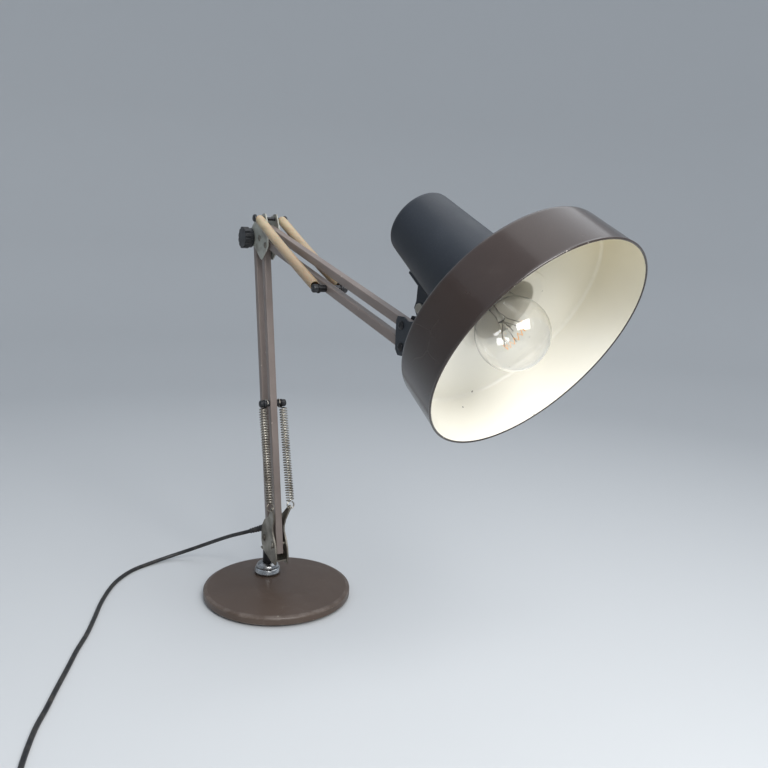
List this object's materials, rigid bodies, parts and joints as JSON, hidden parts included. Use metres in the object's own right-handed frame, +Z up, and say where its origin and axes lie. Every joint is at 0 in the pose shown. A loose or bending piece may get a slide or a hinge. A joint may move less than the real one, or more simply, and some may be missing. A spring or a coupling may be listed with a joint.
{
  "type": "architect desk lamp",
  "caption": "Balanced-arm desk lamp: round weighted base, swivel bracket, two parallelogram arms with balance springs, and a drum shade with tapered rear cap on a tilting, swivelling head.",
  "frame": {"origin": "centre of the base's underside, on the surface that the lamp stands on", "axes": "+Z up, +X from the base towards the shade in the plane of the arms, +Y to the left of someone behind the lamp who looks along +X, so the elbow knob is on the -Y side"},
  "size_m": [0.675, 0.5681, 0.4992],
  "materials": {
    "brown_enamel": "satin brown enamel, worn and chipped along the edges",
    "brown_enamel_shade": "semi-gloss brown enamel outside, white enamel inside, chipped at the rim",
    "zinc": "dull zinc plating, stained grey",
    "chrome": "bright plating with fine scratches",
    "spring_steel": "bare drawn steel wire",
    "black_enamel": "satin black enamel",
    "black_plastic": "moulded black plastic, slightly worn",
    "dark_steel": "blackened steel",
    "grey_enamel": "grey-green enamel, rubbed",
    "nylon": "off-white nylon",
    "cream_sleeve": "cream plastic, yellowed with age",
    "felt": "black felt pad",
    "bakelite": "moulded dark bakelite",
    "bulb_glass": "clear blown glass",
    "lamp_cap": "nickel-plated brass screw cap",
    "pvc_cord": "black PVC twin flex",
    "plug_brass": "bright brass pins"
  },
  "bodies": {
    "base": {"base_weight": "brown_enamel", "base_pad": "felt", "socket_bush": "zinc", "collar_ring": "chrome", "collar_dome": "chrome", "cord_lead": "pvc_cord", "cord_coil": "pvc_cord", "cord_tie": "nylon", "cord_tail": "pvc_cord", "plug_body": "black_plastic", "plug_pin_left": "plug_brass", "plug_pin_right": "plug_brass"},
    "bracket": {"bracket": "zinc", "swivel_shaft": "dark_steel", "swivel_nut": "zinc", "swivel_screw": "zinc", "bracket_pivot_rear": "zinc", "bracket_pivot_front": "zinc", "cord_gland": "black_plastic"},
    "lower_rear_arm": {"lower_rear_bar": "brown_enamel"},
    "lower_front_arm": {"lower_front_bar": "brown_enamel", "lower_spring_pin_spindle": "dark_steel", "lower_spring_pin_cap_left": "black_plastic", "lower_spring_pin_cap_right": "black_plastic", "lower_spring_left": "spring_steel", "lower_spring_right": "spring_steel"},
    "elbow": {"elbow_cheek_left": "grey_enamel", "elbow_cheek_right": "grey_enamel", "elbow_clamp_stud": "zinc", "elbow_pivot_front": "grey_enamel", "elbow_pivot_top": "grey_enamel", "elbow_pivot_low": "grey_enamel", "anchor_rod": "dark_steel", "anchor_cap_left": "black_plastic", "anchor_cap_right": "black_plastic"},
    "clamp_knob": {"elbow_knob": "black_plastic"},
    "upper_low_arm": {"upper_low_bar": "brown_enamel", "sleeve_pin_spindle": "dark_steel", "sleeve_pin_cap_left": "black_plastic", "sleeve_pin_cap_right": "black_plastic", "sleeve_left": "cream_sleeve", "sleeve_right": "cream_sleeve"},
    "upper_top_arm": {"upper_top_bar": "brown_enamel"},
    "head_bracket_body": {"head_bracket": "black_enamel", "head_pivot_top": "zinc", "head_pivot_low": "zinc"},
    "yoke": {"head_yoke": "dark_steel", "yoke_nut": "zinc"},
    "shade": {"drum_shade": "brown_enamel_shade", "rear_cap": "black_enamel", "shade_strap": "black_enamel", "tilt_bolt": "zinc", "tilt_knob": "black_plastic", "bulb_glass": "bulb_glass", "bulb_base": "lamp_cap", "lampholder": "bakelite", "holder_strip": "zinc", "switch_body": "black_plastic"},
    "button": {"switch_button": "nylon"}
  },
  "joints": [
    {"name": "base_swivel", "type": "hinge", "parent": "base", "child": "bracket", "pos_m": [-0.0353, 0, 0.03], "axis": [0, 0, 1], "range_deg": [-90, 90], "deforming": ["cord_lead"]},
    {"name": "lower_arm_tilt", "type": "hinge", "parent": "bracket", "child": "lower_rear_arm", "pos_m": [-0.027, 0, 0.07], "axis": [0, 1, 0], "range_deg": [-12, 60]},
    {"name": "lower_front_bar_tilt", "type": "hinge", "parent": "bracket", "child": "lower_front_arm", "pos_m": [0.0023, 0, 0.07], "axis": [0, 1, 0], "range_deg": [-12.5, 60.5], "deforming": ["lower_spring_left", "lower_spring_right"]},
    {"name": "elbow_level", "type": "hinge", "parent": "lower_rear_arm", "child": "elbow", "pos_m": [-0.08977, 0, 0.46099], "axis": [0, 1, 0], "range_deg": [-60.5, 12.5]},
    {"name": "upper_arm_tilt", "type": "hinge", "parent": "elbow", "child": "upper_low_arm", "pos_m": [-0.04, 0, 0.452], "axis": [0, 1, 0], "range_deg": [-50, 28], "deforming": ["sleeve_left", "sleeve_right"]},
    {"name": "upper_top_bar_tilt", "type": "hinge", "parent": "elbow", "child": "upper_top_arm", "pos_m": [-0.04, 0, 0.4714], "axis": [0, 1, 0], "range_deg": [-50.5, 28.5]},
    {"name": "head_level", "type": "hinge", "parent": "upper_low_arm", "child": "head_bracket_body", "pos_m": [0.30009, 0, 0.36518], "axis": [0, 1, 0], "range_deg": [-28.5, 50.5]},
    {"name": "head_swivel", "type": "hinge", "parent": "head_bracket_body", "child": "yoke", "pos_m": [0.327, 0, 0.388], "axis": [0, 0, 1], "range_deg": [-100, 75]},
    {"name": "head_tilt", "type": "hinge", "parent": "yoke", "child": "shade", "pos_m": [0.327, 0, 0.402], "axis": [-0.2181, 0.9759, 0], "range_deg": [-45, 25]},
    {"name": "elbow_knob_turn", "type": "hinge", "parent": "elbow", "child": "clamp_knob", "pos_m": [-0.08977, -0.015, 0.46099], "axis": [0, -1, 0], "continuous": true},
    {"name": "switch_push", "type": "slide", "parent": "shade", "child": "button", "axis": [0.8033, 0.1796, -0.5678], "range_m": [0, 0.003], "stiffness_N_per_m": 400, "springref_m": -0.002}
  ],
  "couplings": [
    {"joint": "lower_front_bar_tilt", "follows": "lower_arm_tilt", "ratio": 1},
    {"joint": "elbow_level", "follows": "lower_arm_tilt", "ratio": -1},
    {"joint": "upper_top_bar_tilt", "follows": "upper_arm_tilt", "ratio": 1},
    {"joint": "head_level", "follows": "upper_arm_tilt", "ratio": -1}
  ]
}
